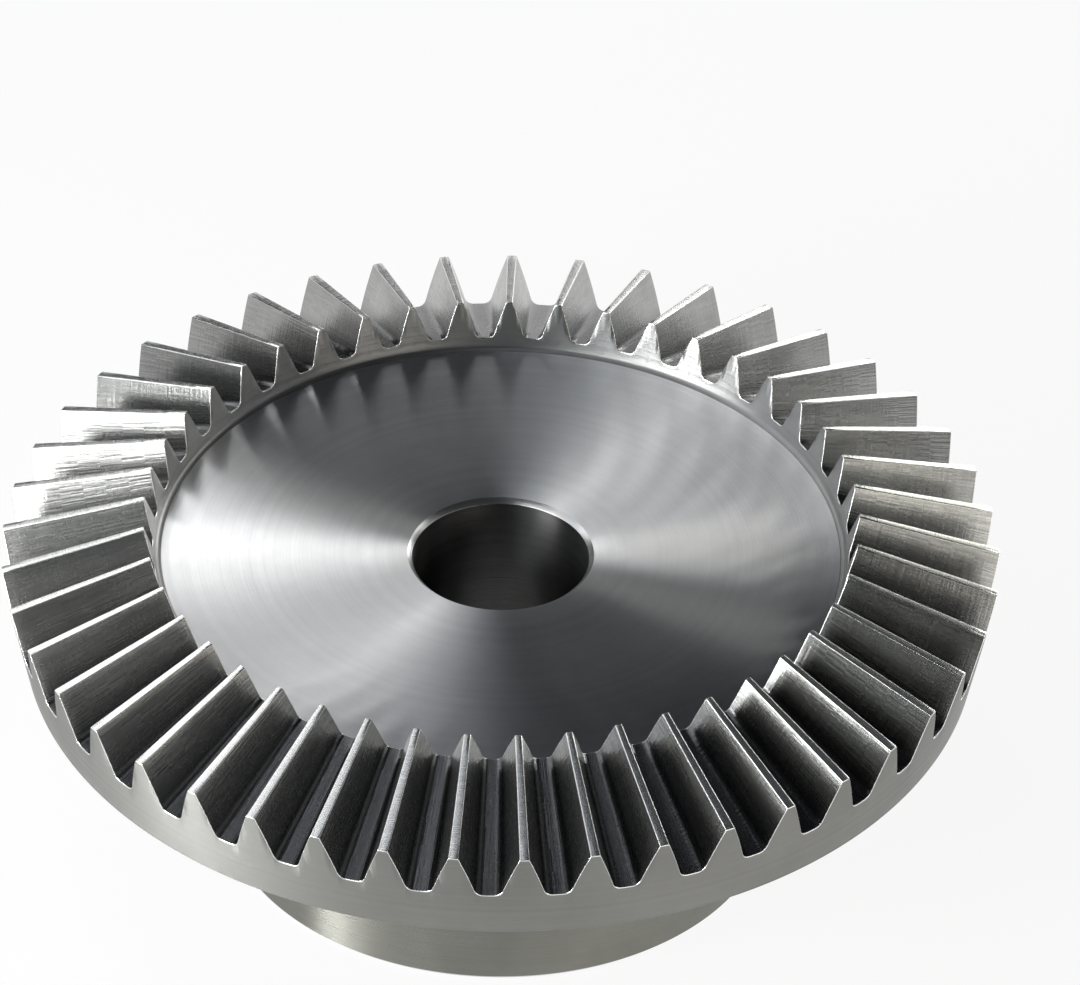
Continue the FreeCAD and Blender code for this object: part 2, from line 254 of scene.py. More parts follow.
@dataclass(frozen=True)
class TurnedSteel(SteelFinish):
    """Steel turned on a lathe: rings about the bore axis on a face, or along it on a cylinder.

    Attributes:
        along_axis: True on a cylinder, where the marks follow each other along the bore axis.
        broad_share: Broad rings for each fine one.
        ring_edges: The noise at a ring's bottom and top.
    """

    along_axis: bool = False
    broad_share: float = 0.12
    ring_edges: tuple[float, float] = (0.32, 0.68)

    def marks(self, nodes: Nodes) -> bpy.types.NodeSocket:
        """Height of the turned rings: fine ones, and broader ones where the feed strays.

        Args:
            nodes: The material's nodes.

        Returns:
            The height, from 0 to 1.
        """
        place = nodes.add("ShaderNodeTexCoord").outputs["Object"]
        axes = nodes.add("ShaderNodeSeparateXYZ", {0: place}).outputs
        squares = [nodes.math("MULTIPLY", axes[name], axes[name]) for name in "XY"]
        travel = axes["Z"] if self.along_axis else nodes.math("SQRT", nodes.math("ADD", *squares))
        fine = nodes.noise(travel, 1.0 / self.mark_pitch, 2.0, dimensions="1D")
        broad = nodes.noise(travel, self.broad_share / self.mark_pitch, 3.0, dimensions="1D")
        return nodes.remap(nodes.weigh(0.5, fine, broad), *self.ring_edges)


@dataclass(frozen=True)
class CutSteel(SteelFinish):
    """Steel cut along the teeth, with streaks that follow the cutter and faint strokes across them.

    Attributes:
        streak_scale: Streaks for each metre along the tooth.
        stroke_scale: Strokes for each metre down the flank.
        streak_offset: How far the streaks of two teeth can lie apart.
        stroke_offset: How far their strokes can lie apart.
        streak_share: How much of the height comes from the streaks, and the rest from the strokes.
        mark_edges: The noise at a mark's bottom and top.
        painted_shade_share: Share of painted shade on the gap's floor.
        painted_shade_top: Level in the gap above which the painted shade is gone.
    """

    streak_scale: float = 90.0
    stroke_scale: float = 160.0
    streak_offset: float = 37.0
    stroke_offset: float = 11.0
    streak_share: float = 0.75
    mark_edges: tuple[float, float] = (0.34, 0.66)
    painted_shade_share: float = 0.85
    painted_shade_top: float = 0.5

    def marks(self, nodes: Nodes) -> bpy.types.NodeSocket:
        """Height of the streaks and strokes, which differ from tooth to tooth.

        Args:
            nodes: The material's nodes.

        Returns:
            The height, from 0 to 1.
        """
        fine = 1.0 / self.mark_pitch
        lengthwise = self.flank_place(nodes, self.streak_scale, fine, self.streak_offset)
        crosswise = self.flank_place(nodes, fine, self.stroke_scale, self.stroke_offset)
        streaks = nodes.noise(lengthwise, 1.0, 4.0, roughness=0.6)
        strokes = nodes.noise(crosswise, 1.0, 2.0)
        return nodes.remap(nodes.weigh(self.streak_share, streaks, strokes), *self.mark_edges)

    def flank_place(self, nodes: Nodes, along: float, down: float,
                    between: float) -> bpy.types.NodeSocket:
        """Place on the flanks, with a scale of its own in each direction.

        Args:
            nodes: The material's nodes.
            along: Scale along the tooth.
            down: Scale down the flank.
            between: How far the places of two teeth can lie apart.

        Returns:
            The place.
        """
        flank = nodes.add("ShaderNodeUVMap", uv_map=MARKS_UV).outputs["UV"]
        axes = nodes.add("ShaderNodeSeparateXYZ", {0: flank}).outputs
        tooth = nodes.add("ShaderNodeAttribute", attribute_name=TOOTH_ATTRIBUTE).outputs["Fac"]
        scaled = {0: nodes.math("MULTIPLY", axes["X"], along),
                  1: nodes.math("MULTIPLY", axes["Y"], down),
                  2: nodes.math("MULTIPLY", tooth, between)}
        return nodes.add("ShaderNodeCombineXYZ", scaled).outputs[0]

    def painted_shade(self, nodes: Nodes) -> bpy.types.NodeSocket:
        """Share of painted shade, which darkens the colour deep in the gaps, where shade falls."""
        level = nodes.add("ShaderNodeAttribute", attribute_name=LEVEL_ATTRIBUTE).outputs["Fac"]
        return nodes.remap(level, 0.0, self.painted_shade_top, self.painted_shade_share, 0.0)


@dataclass
class BevelGear:
    """The wheel: its sizes, with angles in radians, its mesh and its finishes.

    Attributes:
        tooth_module: Pitch diameter for each tooth, at the large end.
        tooth_count: Teeth on the wheel.
        mate_tooth_count: Teeth on the gear it meshes with at a right angle.
        pressure_angle: Lean of the flanks at the pitch cone.
        tooth_thickness: Thickness of a tooth at the pitch cone.
        addendum: Height of a tooth above the pitch cone.
        dedendum: Depth of a gap below it.
        root_fillet: Radius between flank and gap floor.
        face_width: Length of the teeth.
        mounting_distance: Height of the cone apex above the hub's back face.
        heel_face_angle: Lean of the teeth's outer end face.
        toe_face_angle: Lean of their inner end face.
        rim_web: Steel between the gap floor and the rim's back, at the large end.
        disc_recess: Depth of the disc below the gap floor, at the small end.
        disc_corner_fillet: Radius between the disc and the inner end face.
        rim_chamfer: Width of the rim's back chamfer.
        hub_radius: Radius of the hub.
        hub_chamfer: Width of the hub's back chamfer.
        bore_radius: Radius of the bore.
        bore_chamfer: Width of the bore's two chamfers.
        broken_edge: Width of the broken edges.
        tooth_edge_angle: Angle between faces from which an edge of the teeth is broken and given a
            painted highlight.
        chamfer_edge_angle: Angle from which any other edge is eased.
        finishes: Finish of each zone.
    """

    tooth_module: float = 2.0 * MM
    tooth_count: int = 45
    mate_tooth_count: int = 15
    pressure_angle: float = math.radians(20.0)
    tooth_thickness: float = 1.5 * MM
    addendum: float = 0.9 * MM
    dedendum: float = 3.9 * MM
    root_fillet: float = 0.8 * MM
    face_width: float = 13.5 * MM
    mounting_distance: float = 44.0 * MM
    heel_face_angle: float = math.radians(12.0)
    toe_face_angle: float = math.radians(15.0)
    rim_web: float = 5.3 * MM
    disc_recess: float = 1.12 * MM
    disc_corner_fillet: float = 0.6 * MM
    rim_chamfer: float = 0.3 * MM
    hub_radius: float = 25.0 * MM
    hub_chamfer: float = 0.5 * MM
    bore_radius: float = 8.0 * MM
    bore_chamfer: float = 0.45 * MM
    broken_edge: float = 0.07 * MM
    tooth_edge_angle: float = math.radians(50.0)
    chamfer_edge_angle: float = math.radians(36.0)
    finishes: dict[Zone, SteelFinish] = field(default_factory=dict)

    @property
    def pitch_radius(self) -> float:
        """Pitch radius at the large end."""
        return self.tooth_module * self.tooth_count / 2

    @property
    def pitch_cone_height(self) -> float:
        """Height of the cone apex above the pitch circle."""
        return self.tooth_module * self.mate_tooth_count / 2

    @property
    def pitch_angle(self) -> float:
        """Angle between the pitch cone and the bore axis."""
        return math.atan2(self.pitch_radius, self.pitch_cone_height)

    @property
    def cone_distance(self) -> float:
        """Length of the pitch cone from its apex to the large end."""
        return math.hypot(self.pitch_radius, self.pitch_cone_height)

    def floor_height(self, heel: bool) -> float:
        """Height of the gap floor at one end of the teeth.

        Args:
            heel: True at the large end, False at the small one.

        Returns:
            The height above the hub's back face.
        """
        distance = self.cone_distance if heel else self.cone_distance - self.face_width
        depth = self.dedendum * distance / self.cone_distance
        drop = distance * math.cos(self.pitch_angle) + depth * math.sin(self.pitch_angle)
        return self.mounting_distance - drop

    @property
    def rim_back_height(self) -> float:
        """Height of the rim's flat back."""
        return self.floor_height(heel=True) - self.rim_web

    @property
    def disc_height(self) -> float:
        """Height of the disc's front face."""
        return self.floor_height(heel=False) - self.disc_recess

    def half_gap(self) -> list[Point]:
        """Half of a tooth gap's section, square to the pitch cone at its large end.

        Returns:
            Points from the middle of the root to the tip, with heights from the pitch cone.
        """
        virtual_radius = self.cone_distance * math.tan(self.pitch_angle)
        half_width = (math.pi * self.tooth_module - self.tooth_thickness) / 2
        slope = self.pressure_angle + half_width / virtual_radius
        radius = virtual_radius * math.sin(self.pressure_angle)
        centre = (half_width + radius * math.cos(slope), -radius * math.sin(slope))
        fillet_y = self.root_fillet - self.dedendum
        reach = radius + self.root_fillet
        fillet_x = centre[0] - math.sqrt(reach ** 2 - (fillet_y - centre[1]) ** 2)
        foot_turn = math.atan2(centre[1] - fillet_y, centre[0] - fillet_x)
        points = [(0.0, -self.dedendum)]
        for turn in spaced(-math.pi / 2, foot_turn, FILLET_STEPS):
            points.append((fillet_x + self.root_fillet * math.cos(turn),
                           fillet_y + self.root_fillet * math.sin(turn)))
        for height in spaced(points[-1][1], self.addendum, FLANK_STEPS)[1:]:
            points.append((centre[0] - math.sqrt(radius ** 2 - (height - centre[1]) ** 2), height))
        return points

    def columns(self) -> list[Ray]:
        """Rays from the cone apex through one tooth pitch, from gap to gap.

        Returns:
            The rays, from the middle of one gap over the tooth to the middle of the next.
        """
        half_pitch = math.pi / self.tooth_count
        sine, cosine = math.sin(self.pitch_angle), math.cos(self.pitch_angle)
        rays = []
        for side, height in self.half_gap():
            forward = self.cone_distance * sine + height * cosine
            down = self.cone_distance * cosine - height * sine
            out = math.hypot(forward, side)
            rays.append((math.atan2(side, forward) - half_pitch, out / self.cone_distance,
                         down / self.cone_distance))
        middle = (0.0, rays[-1][1], rays[-1][2])
        return rays + [middle] + [(-turn, out, down) for turn, out, down in reversed(rays)]

    def levels(self) -> list[float]:
        """Depth of each column in the gaps, from 0 on the floor to 1 on the tooth's tip."""
        depth = self.addendum + self.dedendum
        shares = [(height + self.dedendum) / depth for side, height in self.half_gap()]
        return shares + [1.0] + shares[::-1]

    def face_radius(self, height: float, heel: bool) -> float:
        """Radius of an end face of the teeth at a height.

        Args:
            height: Height above the hub's back face.
            heel: True for the outer end face, False for the inner one.

        Returns:
            The radius.
        """
        distance = self.cone_distance if heel else self.cone_distance - self.face_width
        lean = self.heel_face_angle if heel else self.toe_face_angle
        radius = distance * math.sin(self.pitch_angle)
        level = self.mounting_distance - distance * math.cos(self.pitch_angle)
        return radius + (height - level) * math.tan(lean)

    def face_distance(self, out: float, down: float, heel: bool) -> float:
        """Cone distance at which a ray leaves the teeth through an end face.

        Args:
            out: The ray's way outwards for each unit of cone distance.
            down: Its way downwards.
            heel: True for the outer end face, False for the inner one.

        Returns:
            The cone distance.
        """
        lean = math.tan(self.heel_face_angle if heel else self.toe_face_angle)
        return self.face_radius(self.mounting_distance, heel) / (out + down * lean)

    def turned_section(self) -> list[tuple[float, float, Zone]]:
        """The turned outline from the inner end face over disc, bore and hub to the outer one.

        Returns:
            (radius, height, zone) points; the zone is that of the stretch which ends there.
        """
        disc, back = self.disc_height, self.rim_back_height
        bore, hub = self.bore_radius, self.hub_radius
        corner = self.face_radius(disc, heel=False)
        reach = self.disc_corner_fillet * math.tan((math.pi / 2 - self.toe_face_angle) / 2)
        centre = (corner - reach, disc + self.disc_corner_fillet)
        section = [(centre[0] + self.disc_corner_fillet * math.cos(turn),
                    centre[1] + self.disc_corner_fillet * math.sin(turn), Zone.TOE_FACE)
                   for turn in spaced(-self.toe_face_angle, -math.pi / 2, CORNER_STEPS)]
        section += [(radius, disc, Zone.DISC)
                    for radius in spaced(section[-1][0], bore + self.bore_chamfer, DISC_STEPS)[1:]]
        section.append((bore, disc - self.bore_chamfer, Zone.CHAMFER))
        section += [(bore, height, Zone.BORE)
                    for height in spaced(disc - self.bore_chamfer, self.bore_chamfer, BORE_STEPS)[1:]]
        section.append((bore + self.bore_chamfer, 0.0, Zone.CHAMFER))
        section += [(radius, 0.0, Zone.BACK)
                    for radius in spaced(bore + self.bore_chamfer, hub - self.hub_chamfer,
                                         BACK_STEPS)[1:]]
        section.append((hub, self.hub_chamfer, Zone.CHAMFER))
        section += [(hub, height, Zone.HUB)
                    for height in spaced(self.hub_chamfer, back, HUB_STEPS)[1:]]
        rim = self.face_radius(back, heel=True)
        section += [(radius, back, Zone.BACK)
                    for radius in spaced(hub, rim - self.rim_chamfer, BACK_STEPS)[1:]]
        top = back + self.rim_chamfer * math.cos(self.heel_face_angle)
        section.append((self.face_radius(top, heel=True), top, Zone.CHAMFER))
        return section

    def pitch_sector(self) -> bpy.types.Mesh:
        """One tooth pitch of the whole wheel, open only where its neighbours join it.

        Returns:
            The mesh, with a zone for each face, a level for each vertex and a UV map whose U runs
            along the tool marks.
        """
        rays = self.columns()
        half_pitch = math.pi / self.tooth_count
        even = spaced(-half_pitch, half_pitch, len(rays) - 1)
        heel = [self.face_distance(out, down, True) for turn, out, down in rays]
        toe = [self.face_distance(out, down, False) for turn, out, down in rays]
        rows: list[list[PolarPoint]] = []
        zones: list[Zone] = []
        for share in spaced(0.0, 1.0, LENGTH_STEPS):
            row = []
            for (turn, out, down), outer, inner in zip(rays, heel, toe):
                distance = outer + (inner - outer) * share
                row.append((turn, distance * out, self.mounting_distance - distance * down))
            rows.append(row)
            zones.append(Zone.FLANK)
        section = self.turned_section()
        first, last = rows[-1], rows[0]
        foot_radius, foot_height, foot_zone = section[0]
        for share in spaced(0.0, 1.0, TOE_FACE_STEPS)[1:]:
            rows.append([(turn + (flat - turn) * share, radius + (foot_radius - radius) * share,
                          height + (foot_height - height) * share)
                         for (turn, radius, height), flat in zip(first, even)])
            zones.append(foot_zone)
        for radius, height, zone in section[1:]:
            rows.append([(flat, radius, height) for flat in even])
            zones.append(zone)
        rim_radius, rim_height = section[-1][:2]
        for share in spaced(0.0, 1.0, HEEL_FACE_STEPS)[1:-1]:
            rows.append([(flat + (turn - flat) * share, rim_radius + (radius - rim_radius) * share,
                          rim_height + (height - rim_height) * share)
                         for (turn, radius, height), flat in zip(last, even)])
            zones.append(Zone.HEEL_FACE)
        return self.weave(rows, zones)

    def weave(self, rows: list[list[PolarPoint]], zones: list[Zone]) -> bpy.types.Mesh:
        """Joins rows of points into a band of quads that closes on itself.

        Args:
            rows: The points, as many in each row.
            zones: Zone of the quads between each row and the one before it.

        Returns:
            The mesh.
        """
        width = len(rows[0])
        vertices = [(radius * math.sin(-turn), radius * math.cos(turn), height)
                    for row in rows for turn, radius, height in row]
        faces, kinds, corners = [], [], []
        travel = 0.0
        for index, row in enumerate(rows):
            after = (index + 1) % len(rows)
            zone = zones[after] if after else Zone.HEEL_FACE
            step = math.dist(row[0][1:], rows[after][0][1:])
            reach = 0.0
            for column in range(width - 1):
                here = index * width + column
                there = after * width + column
                faces.append((here, here + 1, there + 1, there))
                on_tip = zone is Zone.FLANK and column + 1 in (width // 2, width // 2 + 1)
                kinds.append((Zone.TIP if on_tip else zone).value)
                wide = math.dist(vertices[here], vertices[here + 1])
                if zone is Zone.FLANK:
                    corners += [(travel, reach), (travel, reach + wide),
                                (travel + step, reach + wide), (travel + step, reach)]
                else:
                    around = (row[column], row[column + 1],
                              rows[after][column + 1], rows[after][column])
                    # V only has to change on faces, cones and cylinders alike.
                    corners += [(turn, height - radius / 2) for turn, radius, height in around]
                reach += wide
            travel += step
        mesh = bpy.data.meshes.new("tooth_pitch")
        mesh.from_pydata(vertices, [], faces)
        uv_layer = mesh.uv_layers.new(name=MARKS_UV)
        uv_layer.uv.foreach_set("vector", [part for corner in corners for part in corner])
        mesh.attributes.new(ZONE_ATTRIBUTE, "INT", "FACE").data.foreach_set("value", kinds)
        levels = [level for row in rows for level in self.levels()]
        mesh.attributes.new(LEVEL_ATTRIBUTE, "FLOAT", "POINT").data.foreach_set("value", levels)
        mesh.validate()
        return mesh

    def build(self) -> bpy.types.Object:
        """Makes the whole wheel, dressed and on its body.

        Returns:
            The wheel.
        """
        made = {finish: finish.build() for finish in dict.fromkeys(self.finishes.values())}
        materials = {zone: made[finish] for zone, finish in self.finishes.items()}
        sector = self.pitch_sector()
        sector.materials.append(materials[Zone.FLANK])
        pitch = bpy.data.objects.new("tooth_pitch", sector)
        bpy.context.collection.objects.link(pitch)
        welded = PitchRing(self.tooth_count, WELD_DISTANCE, materials).apply(pitch)
        wheel = bpy.data.objects.new("gear_wheel", welded)
        bpy.context.collection.objects.link(wheel)
        self.break_edges(wheel, welded.materials.find(materials[Zone.TIP].name))
        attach(wheel, "root")
        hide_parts(NODE)
        return wheel

    def break_edges(self, wheel: bpy.types.Object, painted_highlight_material: int) -> None:
        """Breaks the sharp edges and levels the shading of the faces between them.

        Args:
            wheel: The wheel; its mesh is replaced by a plain one.
            painted_highlight_material: Number of the material whose bright colour paints a highlight
                on the broken edges of the teeth.
        """
        # The broken tooth edges take the tips' bright colour as a painted highlight.
        for name, angle, material in (
                ("broken_tooth_edges_painted_highlight", self.tooth_edge_angle, painted_highlight_material),
                ("eased_chamfers", self.chamfer_edge_angle, NEIGHBOUR_MATERIAL)):
            edges = wheel.modifiers.new(name, "BEVEL")
            edges.width = self.broken_edge
            edges.segments = 2
            edges.limit_method = "ANGLE"
            edges.angle_limit = angle
            edges.use_clamp_overlap = True
            edges.material = material
        weights = wheel.modifiers.new("face_normals", "WEIGHTED_NORMAL")
        weights.keep_sharp = False
        plain = flatten(wheel)
        wheel.modifiers.clear()
        wheel.data = plain


def spaced(start: float, end: float, parts: int) -> list[float]:
    """Evenly spaced values with both ends, in the given number of steps."""
    return [start + (end - start) * step / parts for step in range(parts + 1)]


def flatten(source: bpy.types.Object) -> bpy.types.Mesh:
    """The mesh that an object's modifiers give, as a new plain mesh."""
    depsgraph = bpy.context.evaluated_depsgraph_get()
    return bpy.data.meshes.new_from_object(source.evaluated_get(depsgraph), depsgraph=depsgraph)


@dataclass
class PitchRing:
    """Geometry nodes that repeat one tooth pitch round the bore axis and weld the copies.

    Attributes:
        count: How many copies.
        weld: Distance below which neighbouring points become one.
        materials: Material of each zone.
        seed: Seed of the random number that each tooth has.
    """

    count: int
    weld: float
    materials: dict[Zone, bpy.types.Material]
    seed: int = 3

    def tree(self) -> bpy.types.NodeTree:
        """Builds the node group.

        Returns:
            The group.
        """
        group = bpy.data.node_groups.new("pitch_ring", "GeometryNodeTree")
        for name, kind in (("Pitch", "NodeSocketGeometry"), ("Copies", "NodeSocketInt"),
                           ("Weld distance", "NodeSocketFloat"), ("Seed", "NodeSocketInt")):
            group.interface.new_socket(name=name, in_out="INPUT", socket_type=kind)
        group.interface.new_socket(name="Wheel", in_out="OUTPUT", socket_type="NodeSocketGeometry")
        nodes = Nodes(group)
        given = nodes.add("NodeGroupInput").outputs
        points = nodes.add("GeometryNodePoints", {"Count": given["Copies"]}).outputs[0]
        number = nodes.add("GeometryNodeInputIndex").outputs[0]
        turn = nodes.math("MULTIPLY", nodes.math("DIVIDE", number, given["Copies"]), math.tau)
        angles = nodes.add("ShaderNodeCombineXYZ", {2: turn}).outputs[0]
        copies = nodes.add("GeometryNodeInstanceOnPoints", {
            "Points": points, "Instance": given["Pitch"], "Rotation": angles}).outputs[0]
        shade = nodes.add("FunctionNodeRandomValue", {"ID": number, "Seed": given["Seed"]},
                          data_type="FLOAT")
        marked = nodes.add("GeometryNodeStoreNamedAttribute", {
            "Geometry": copies, "Name": TOOTH_ATTRIBUTE, "Value": shade.outputs[1]},
            data_type="FLOAT", domain="INSTANCE").outputs[0]
        real = nodes.add("GeometryNodeRealizeInstances", {"Geometry": marked}).outputs[0]
        welded = nodes.add("GeometryNodeMergeByDistance", {
            "Geometry": real, "Distance": given["Weld distance"]}).outputs[0]
        wheel = nodes.add("GeometryNodeSetShadeSmooth", {"Geometry": welded}).outputs[0]
        zone_number = nodes.add("GeometryNodeInputNamedAttribute", {"Name": ZONE_ATTRIBUTE},
                                data_type="INT").outputs[0]
        for zone, material in self.materials.items():
            chosen = nodes.add("FunctionNodeCompare", {2: zone_number, 3: zone.value},
                               data_type="INT", operation="EQUAL").outputs[0]
            wheel = nodes.add("GeometryNodeSetMaterial", {
                "Geometry": wheel, "Selection": chosen, "Material": material}).outputs[0]
        nodes.add("NodeGroupOutput", {"Wheel": wheel})
        return group

    def apply(self, pitch: bpy.types.Object) -> bpy.types.Mesh:
        """Repeats the pitch and gives the result as a plain mesh.

        Args:
            pitch: The object with one tooth pitch; it is removed.

        Returns:
            The welded mesh.
        """
        group = self.tree()
        modifier = pitch.modifiers.new("pitch_ring", "NODES")
        modifier.node_group = group
        values = {"Copies": self.count, "Weld distance": self.weld, "Seed": self.seed}
        for name, value in values.items():
            modifier[socket_identifier(group, name)] = value
        mesh = flatten(pitch)
        pitch.modifiers.clear()
        bpy.data.objects.remove(pitch)
        return mesh


def socket_identifier(group: bpy.types.NodeTree, name: str) -> str:
    """Identifier of a group's named input.

    Args:
        group: The node group.
        name: The input's name.

    Returns:
        The identifier under which a modifier keeps the input.
    """
    for item in group.interface.items_tree:
        if item.item_type == "SOCKET" and item.in_out == "INPUT" and item.name == name:
            return item.identifier
    raise KeyError(name)


@dataclass
class SoftLamp:
    """A softbox that faces the wheel.

    Attributes:
        name: The lamp's name.
        azimuth: Degrees about the bore axis, from +X towards +Y.
        elevation: Degrees above the table.
        distance: Distance from the wheel.
        size: Width and height.
        glow: Brightness of its face, where white paper has 1.
        colour: Its light.
    """

    name: str
    azimuth: float
    elevation: float
    distance: float
    size: tuple[float, float]
    glow: float
    colour: Colour = (1.0, 1.0, 1.0)

    def build(self) -> bpy.types.Object:
        """Makes the lamp.

        Returns:
            The lamp.
        """
        data = bpy.data.lights.new(self.name, "AREA")
        data.shape = "RECTANGLE"
        data.size, data.size_y = self.size
        data.energy = PAPER_WHITE_WATTS * self.glow * self.size[0] * self.size[1]
        data.color = self.colour
        turn = math.radians(self.azimuth)
        rise = math.radians(self.elevation)
        flat = math.cos(rise)
        away = Vector((flat * math.cos(turn), flat * math.sin(turn), math.sin(rise)))
        lamp = bpy.data.objects.new(self.name, data)
        lamp.location = away * self.distance
        lamp.rotation_euler = away.to_track_quat("Z", "Y").to_euler()
        lamp.visible_camera = False
        bpy.context.collection.objects.link(lamp)
        return lamp


@dataclass
class Studio:
    """A white table, a dark surround and soft lamps.

    Attributes:
        table_half: Half of the table's side.
        table_drop: How far the table lies below the hub's back face, so that the two don't flicker.
        table_colour: Colour that the table has for the light it throws back.
        table_glow: Share of its own white light in what is seen of the table.
        surround: Colour of everything beyond the table.
        lamps: The lamps: far softboxes first, then small ones close to the wheel.
    """

    table_half: float = 0.6
    table_drop: float = 0.02 * MM
    table_colour: Colour = (0.9, 0.9, 0.9)
    table_glow: float = 0.9
    surround: Colour = (0.020, 0.022, 0.026)
    # Each lamp has its azimuth, elevation, distance, size, glow and, unless it is white, its colour.
    lamps: list[SoftLamp] = field(default_factory=lambda: [
        SoftLamp("front_left_softbox", 210.0, 7.0, 0.9, (0.36, 0.20), 13.0, (0.98, 1.0, 0.98)),
        SoftLamp("front_softbox", 298.0, 6.0, 0.9, (0.65, 0.20), 0.9, (1.0, 1.0, 0.93)),
        SoftLamp("right_softbox", 0.0, 18.0, 0.9, (0.60, 0.20), 0.7),
        SoftLamp("back_right_softbox", 51.0, 15.0, 0.9, (0.19, 0.20), 6.5),
        SoftLamp("back_softbox", 75.0, 12.0, 0.9, (0.30, 0.20), 2.4),
        SoftLamp("raised_right_softbox", 30.0, 30.0, 0.9, (0.35, 0.24), 1.5, (1.0, 1.0, 0.94)),
        SoftLamp("raised_front_softbox", 235.0, 30.0, 0.9, (0.35, 0.24), 4.5, (0.94, 1.0, 1.0)),
        SoftLamp("raised_left_softbox", 185.0, 30.0, 0.9, (1.00, 0.24), 1.0, (0.98, 0.98, 1.0)),
        SoftLamp("high_left_softbox", 128.0, 50.0, 0.9, (0.34, 0.50), 1.2),
        SoftLamp("high_side_softbox", 175.0, 52.0, 0.9, (0.50, 0.30), 1.0),
        SoftLamp("overhead_softbox", 160.0, 78.0, 0.9, (0.30, 0.30), 0.9, (0.90, 0.93, 1.0)),
        SoftLamp("near_front_strip", 215.0, 24.0, 0.212, (0.10, 0.06), 7.7),
        SoftLamp("near_hub_strip", 213.0, 6.0, 0.121, (0.020, 0.020), 30.0),
        SoftLamp("near_left_strip", 175.0, 26.0, 0.198, (0.08, 0.05), 0.8, (0.75, 0.9, 1.0)),
        SoftLamp("near_side_strip", 150.0, 31.0, 0.169, (0.05, 0.04), 1.5),
        SoftLamp("near_band_strip", 118.0, 42.0, 0.137, (0.022, 0.028), 2.6),
        SoftLamp("near_back_strip", 114.0, 37.0, 0.262, (0.08, 0.05), 1.2),
        SoftLamp("near_rim_strip", 99.0, 36.6, 0.092, (0.03, 0.02), 0.35),
        SoftLamp("near_warm_strip", 316.0, 20.0, 0.125, (0.09, 0.03), 1.6, (1.0, 0.95, 0.85)),
        SoftLamp("near_right_strip", 62.0, 22.6, 0.407, (0.08, 0.08), 2.0, (1.0, 1.0, 0.86)),
    ])

    def build_table(self) -> bpy.types.Object:
        """Makes the floor, which looks white and still takes a soft shadow.

        Returns:
            The floor.
        """
        reach = self.table_half
        mesh = bpy.data.meshes.new("table")
        mesh.from_pydata([(-reach, -reach, 0.0), (reach, -reach, 0.0), (reach, reach, 0.0),
                          (-reach, reach, 0.0)], [], [(0, 1, 2, 3)])
        table = bpy.data.objects.new("table", mesh)
        table.location = (0.0, 0.0, -self.table_drop)
        bpy.context.collection.objects.link(table)
        material = bpy.data.materials.new("white_table")
        material.use_nodes = True
        nodes = Nodes(material.node_tree)
        paths = nodes.add("ShaderNodeLightPath").outputs
        mirrored = nodes.math("MAXIMUM", paths["Is Glossy Ray"], paths["Is Transmission Ray"])
        seen = nodes.math("MAXIMUM", paths["Is Camera Ray"], mirrored)
        matt = nodes.add("ShaderNodeBsdfDiffuse", {"Color": rgba(self.table_colour)}).outputs[0]
        white = {"Color": rgba((1.0, 1.0, 1.0)), "Strength": 1.0}
        glow = nodes.add("ShaderNodeEmission", white).outputs[0]
        share = nodes.math("MULTIPLY", seen, self.table_glow)
        surface = nodes.add("ShaderNodeMixShader", {0: share, 1: matt, 2: glow}).outputs[0]
        nodes.add("ShaderNodeOutputMaterial", {"Surface": surface})
        mesh.materials.append(material)
        return table

    def build_surround(self) -> None:
        """Sets the world to one plain dark colour."""
        world = bpy.data.worlds.new("surround")
        world.use_nodes = True
        nodes = Nodes(world.node_tree)
        plain = nodes.add("ShaderNodeBackground", {"Color": rgba(self.surround)}).outputs[0]
        nodes.add("ShaderNodeOutputWorld", {"Surface": plain})
        bpy.context.scene.world = world

    def build(self) -> None:
        """Makes the whole studio."""
        self.build_table()
        self.build_surround()
        for lamp in self.lamps:
            lamp.build()


@dataclass
class ViewCamera:
    """A long-lens camera that looks down on the wheel.

    Attributes:
        target: The point it was fitted about, on the bore axis.
        elevation: Height of its line of sight above the table.
        azimuth: Its turn about the bore axis from the -Y side.
        distance: Its distance from the target.
        scale: Picture pixels for each metre at the target.
        roll: Turn about the line of sight.
        tilt: Turn about the picture's horizontal.
        pan: Turn about the picture's vertical.
        picture_width: Width of the picture in pixels.
        sensor_width: Width of its sensor, in millimetres.
    """

    target: tuple[float, float, float] = (0.0, 0.0, 29.0 * MM)
    elevation: float = 0.6507
    azimuth: float = 0.0138
    distance: float = 1.307
    scale: float = 11052.0
    roll: float = -0.0156
    tilt: float = -0.00455
    pan: float = 0.00265
    picture_width: float = 1080.0
    sensor_width: float = 36.0

    def build(self) -> bpy.types.Object:
        """Makes the camera and gives it to the scene.

        Returns:
            The camera.
        """
        data = bpy.data.cameras.new("view_camera")
        data.sensor_fit = "HORIZONTAL"
        data.sensor_width = self.sensor_width
        data.lens = self.scale * self.distance / self.picture_width * data.sensor_width
        data.clip_start = 0.01
        data.clip_end = 20.0
        camera = bpy.data.objects.new("view_camera", data)
        flat = math.cos(self.elevation)
        back = Vector((math.sin(self.azimuth) * flat, -math.cos(self.azimuth) * flat,
                       math.sin(self.elevation)))
        right = Vector((math.cos(self.azimuth), math.sin(self.azimuth), 0.0))
        upward = back.cross(right)
        stand = Matrix((right, upward, back))
        small = (Matrix.Rotation(self.roll, 3, "Z") @ Matrix.Rotation(self.tilt, 3, "X")
                 @ Matrix.Rotation(self.pan, 3, "Y"))
        turn = (small @ stand).transposed().to_4x4()
        camera.matrix_world = Matrix.Translation(Vector(self.target) + back * self.distance) @ turn
        bpy.context.collection.objects.link(camera)
        bpy.context.scene.camera = camera
        return camera


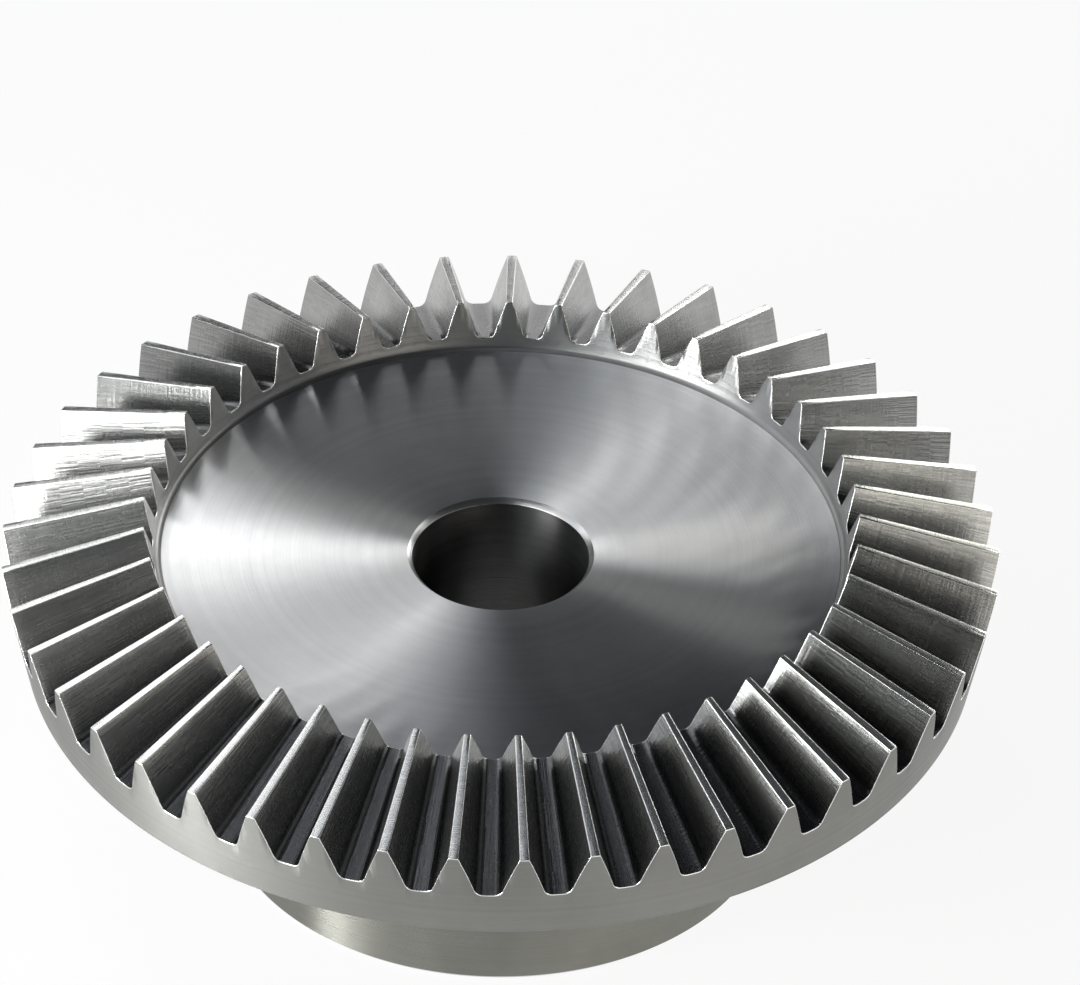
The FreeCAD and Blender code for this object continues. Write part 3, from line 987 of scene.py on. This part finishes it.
def steel_finishes() -> dict[Zone, SteelFinish]:
    """The finish of each zone.

    Returns:
        Finishes by zone.
    """
    # Each zone's colours were scaled to how bright that zone looks, so their spread from zone to zone
    # is painted light and shade on one steel.
    cut = CutSteel("cut_flanks", colour=(0.40, 0.40, 0.39), dark=(0.10, 0.10, 0.104),
                   roughness=0.27, roughness_swing=0.08, anisotropy=0.45,
                   mark_pitch=0.24 * MM, mark_depth=0.14, stain=0.6)
    # Tip lands: colour raised far above bare steel, a painted highlight along the tips and broken
    # tooth edges.
    tip = TurnedSteel("turned_tips_painted_highlight", colour=(0.92, 0.92, 0.90), dark=(0.70, 0.70, 0.70),
                      roughness=0.24, roughness_swing=0.06, anisotropy=0.5,
                      mark_pitch=0.10 * MM, mark_depth=0.15, stain=0.3)
    toe = TurnedSteel("turned_toe_faces", colour=(0.30, 0.30, 0.30), dark=(0.18, 0.18, 0.175),
                      roughness=0.40, roughness_swing=0.08, anisotropy=0.5,
                      mark_pitch=0.12 * MM, mark_depth=0.2, stain=0.4)
    # Heel and back faces: colour lowered as painted shade.
    heel = TurnedSteel("turned_heel_faces_painted_shade", colour=(0.27, 0.27, 0.258), dark=(0.18, 0.18, 0.166),
                       roughness=0.48, roughness_swing=0.08, anisotropy=0.7,
                       mark_pitch=0.12 * MM, mark_depth=0.2, stain=0.4)
    disc = TurnedSteel("turned_disc", colour=(0.90, 0.90, 0.90), dark=(0.62, 0.63, 0.66),
                       roughness=0.33, roughness_swing=0.04, anisotropy=1.0,
                       mark_pitch=0.10 * MM, mark_depth=0.12, stain=0.6)
    # Chamfers: colour raised as a painted highlight, for the bright crescent round the bore.
    chamfer = TurnedSteel("turned_chamfers_painted_highlight", colour=(0.55, 0.55, 0.55), dark=(0.42, 0.42, 0.42),
                          roughness=0.28, roughness_swing=0.05, anisotropy=0.4,
                          mark_pitch=0.10 * MM, mark_depth=0.1, stain=0.2)
    # Bore: colour kept dark as painted shade inside the hole.
    bore = TurnedSteel("reamed_bore_painted_shade", colour=(0.17, 0.17, 0.168), dark=(0.05, 0.05, 0.05),
                       roughness=0.34, roughness_swing=0.06, anisotropy=0.9,
                       mark_pitch=0.12 * MM, mark_depth=0.15, stain=0.6, along_axis=True)
    # Hub: colour lowered as painted shade.
    hub = TurnedSteel("turned_hub_painted_shade", colour=(0.25, 0.25, 0.225), dark=(0.15, 0.15, 0.13),
                      roughness=0.28, roughness_swing=0.04, anisotropy=1.0,
                      mark_pitch=0.15 * MM, mark_depth=0.05, stain=0.5, along_axis=True)
    return {Zone.FLANK: cut, Zone.TIP: tip, Zone.TOE_FACE: toe, Zone.DISC: disc,
            Zone.CHAMFER: chamfer, Zone.BORE: bore, Zone.BACK: heel, Zone.HUB: hub,
            Zone.HEEL_FACE: heel}


def main() -> None:
    """Builds the studio, the camera and the wheel, and logs the wheel's face count."""
    logging.basicConfig(level=logging.INFO, format="%(message)s")
    bpy.context.scene.view_settings.view_transform = "Standard"
    Studio().build()
    ViewCamera().build()
    wheel = BevelGear(finishes=steel_finishes()).build()
    log.info("%s: %d faces", wheel.name, len(wheel.data.polygons))


if __name__ == "__main__":
    main()
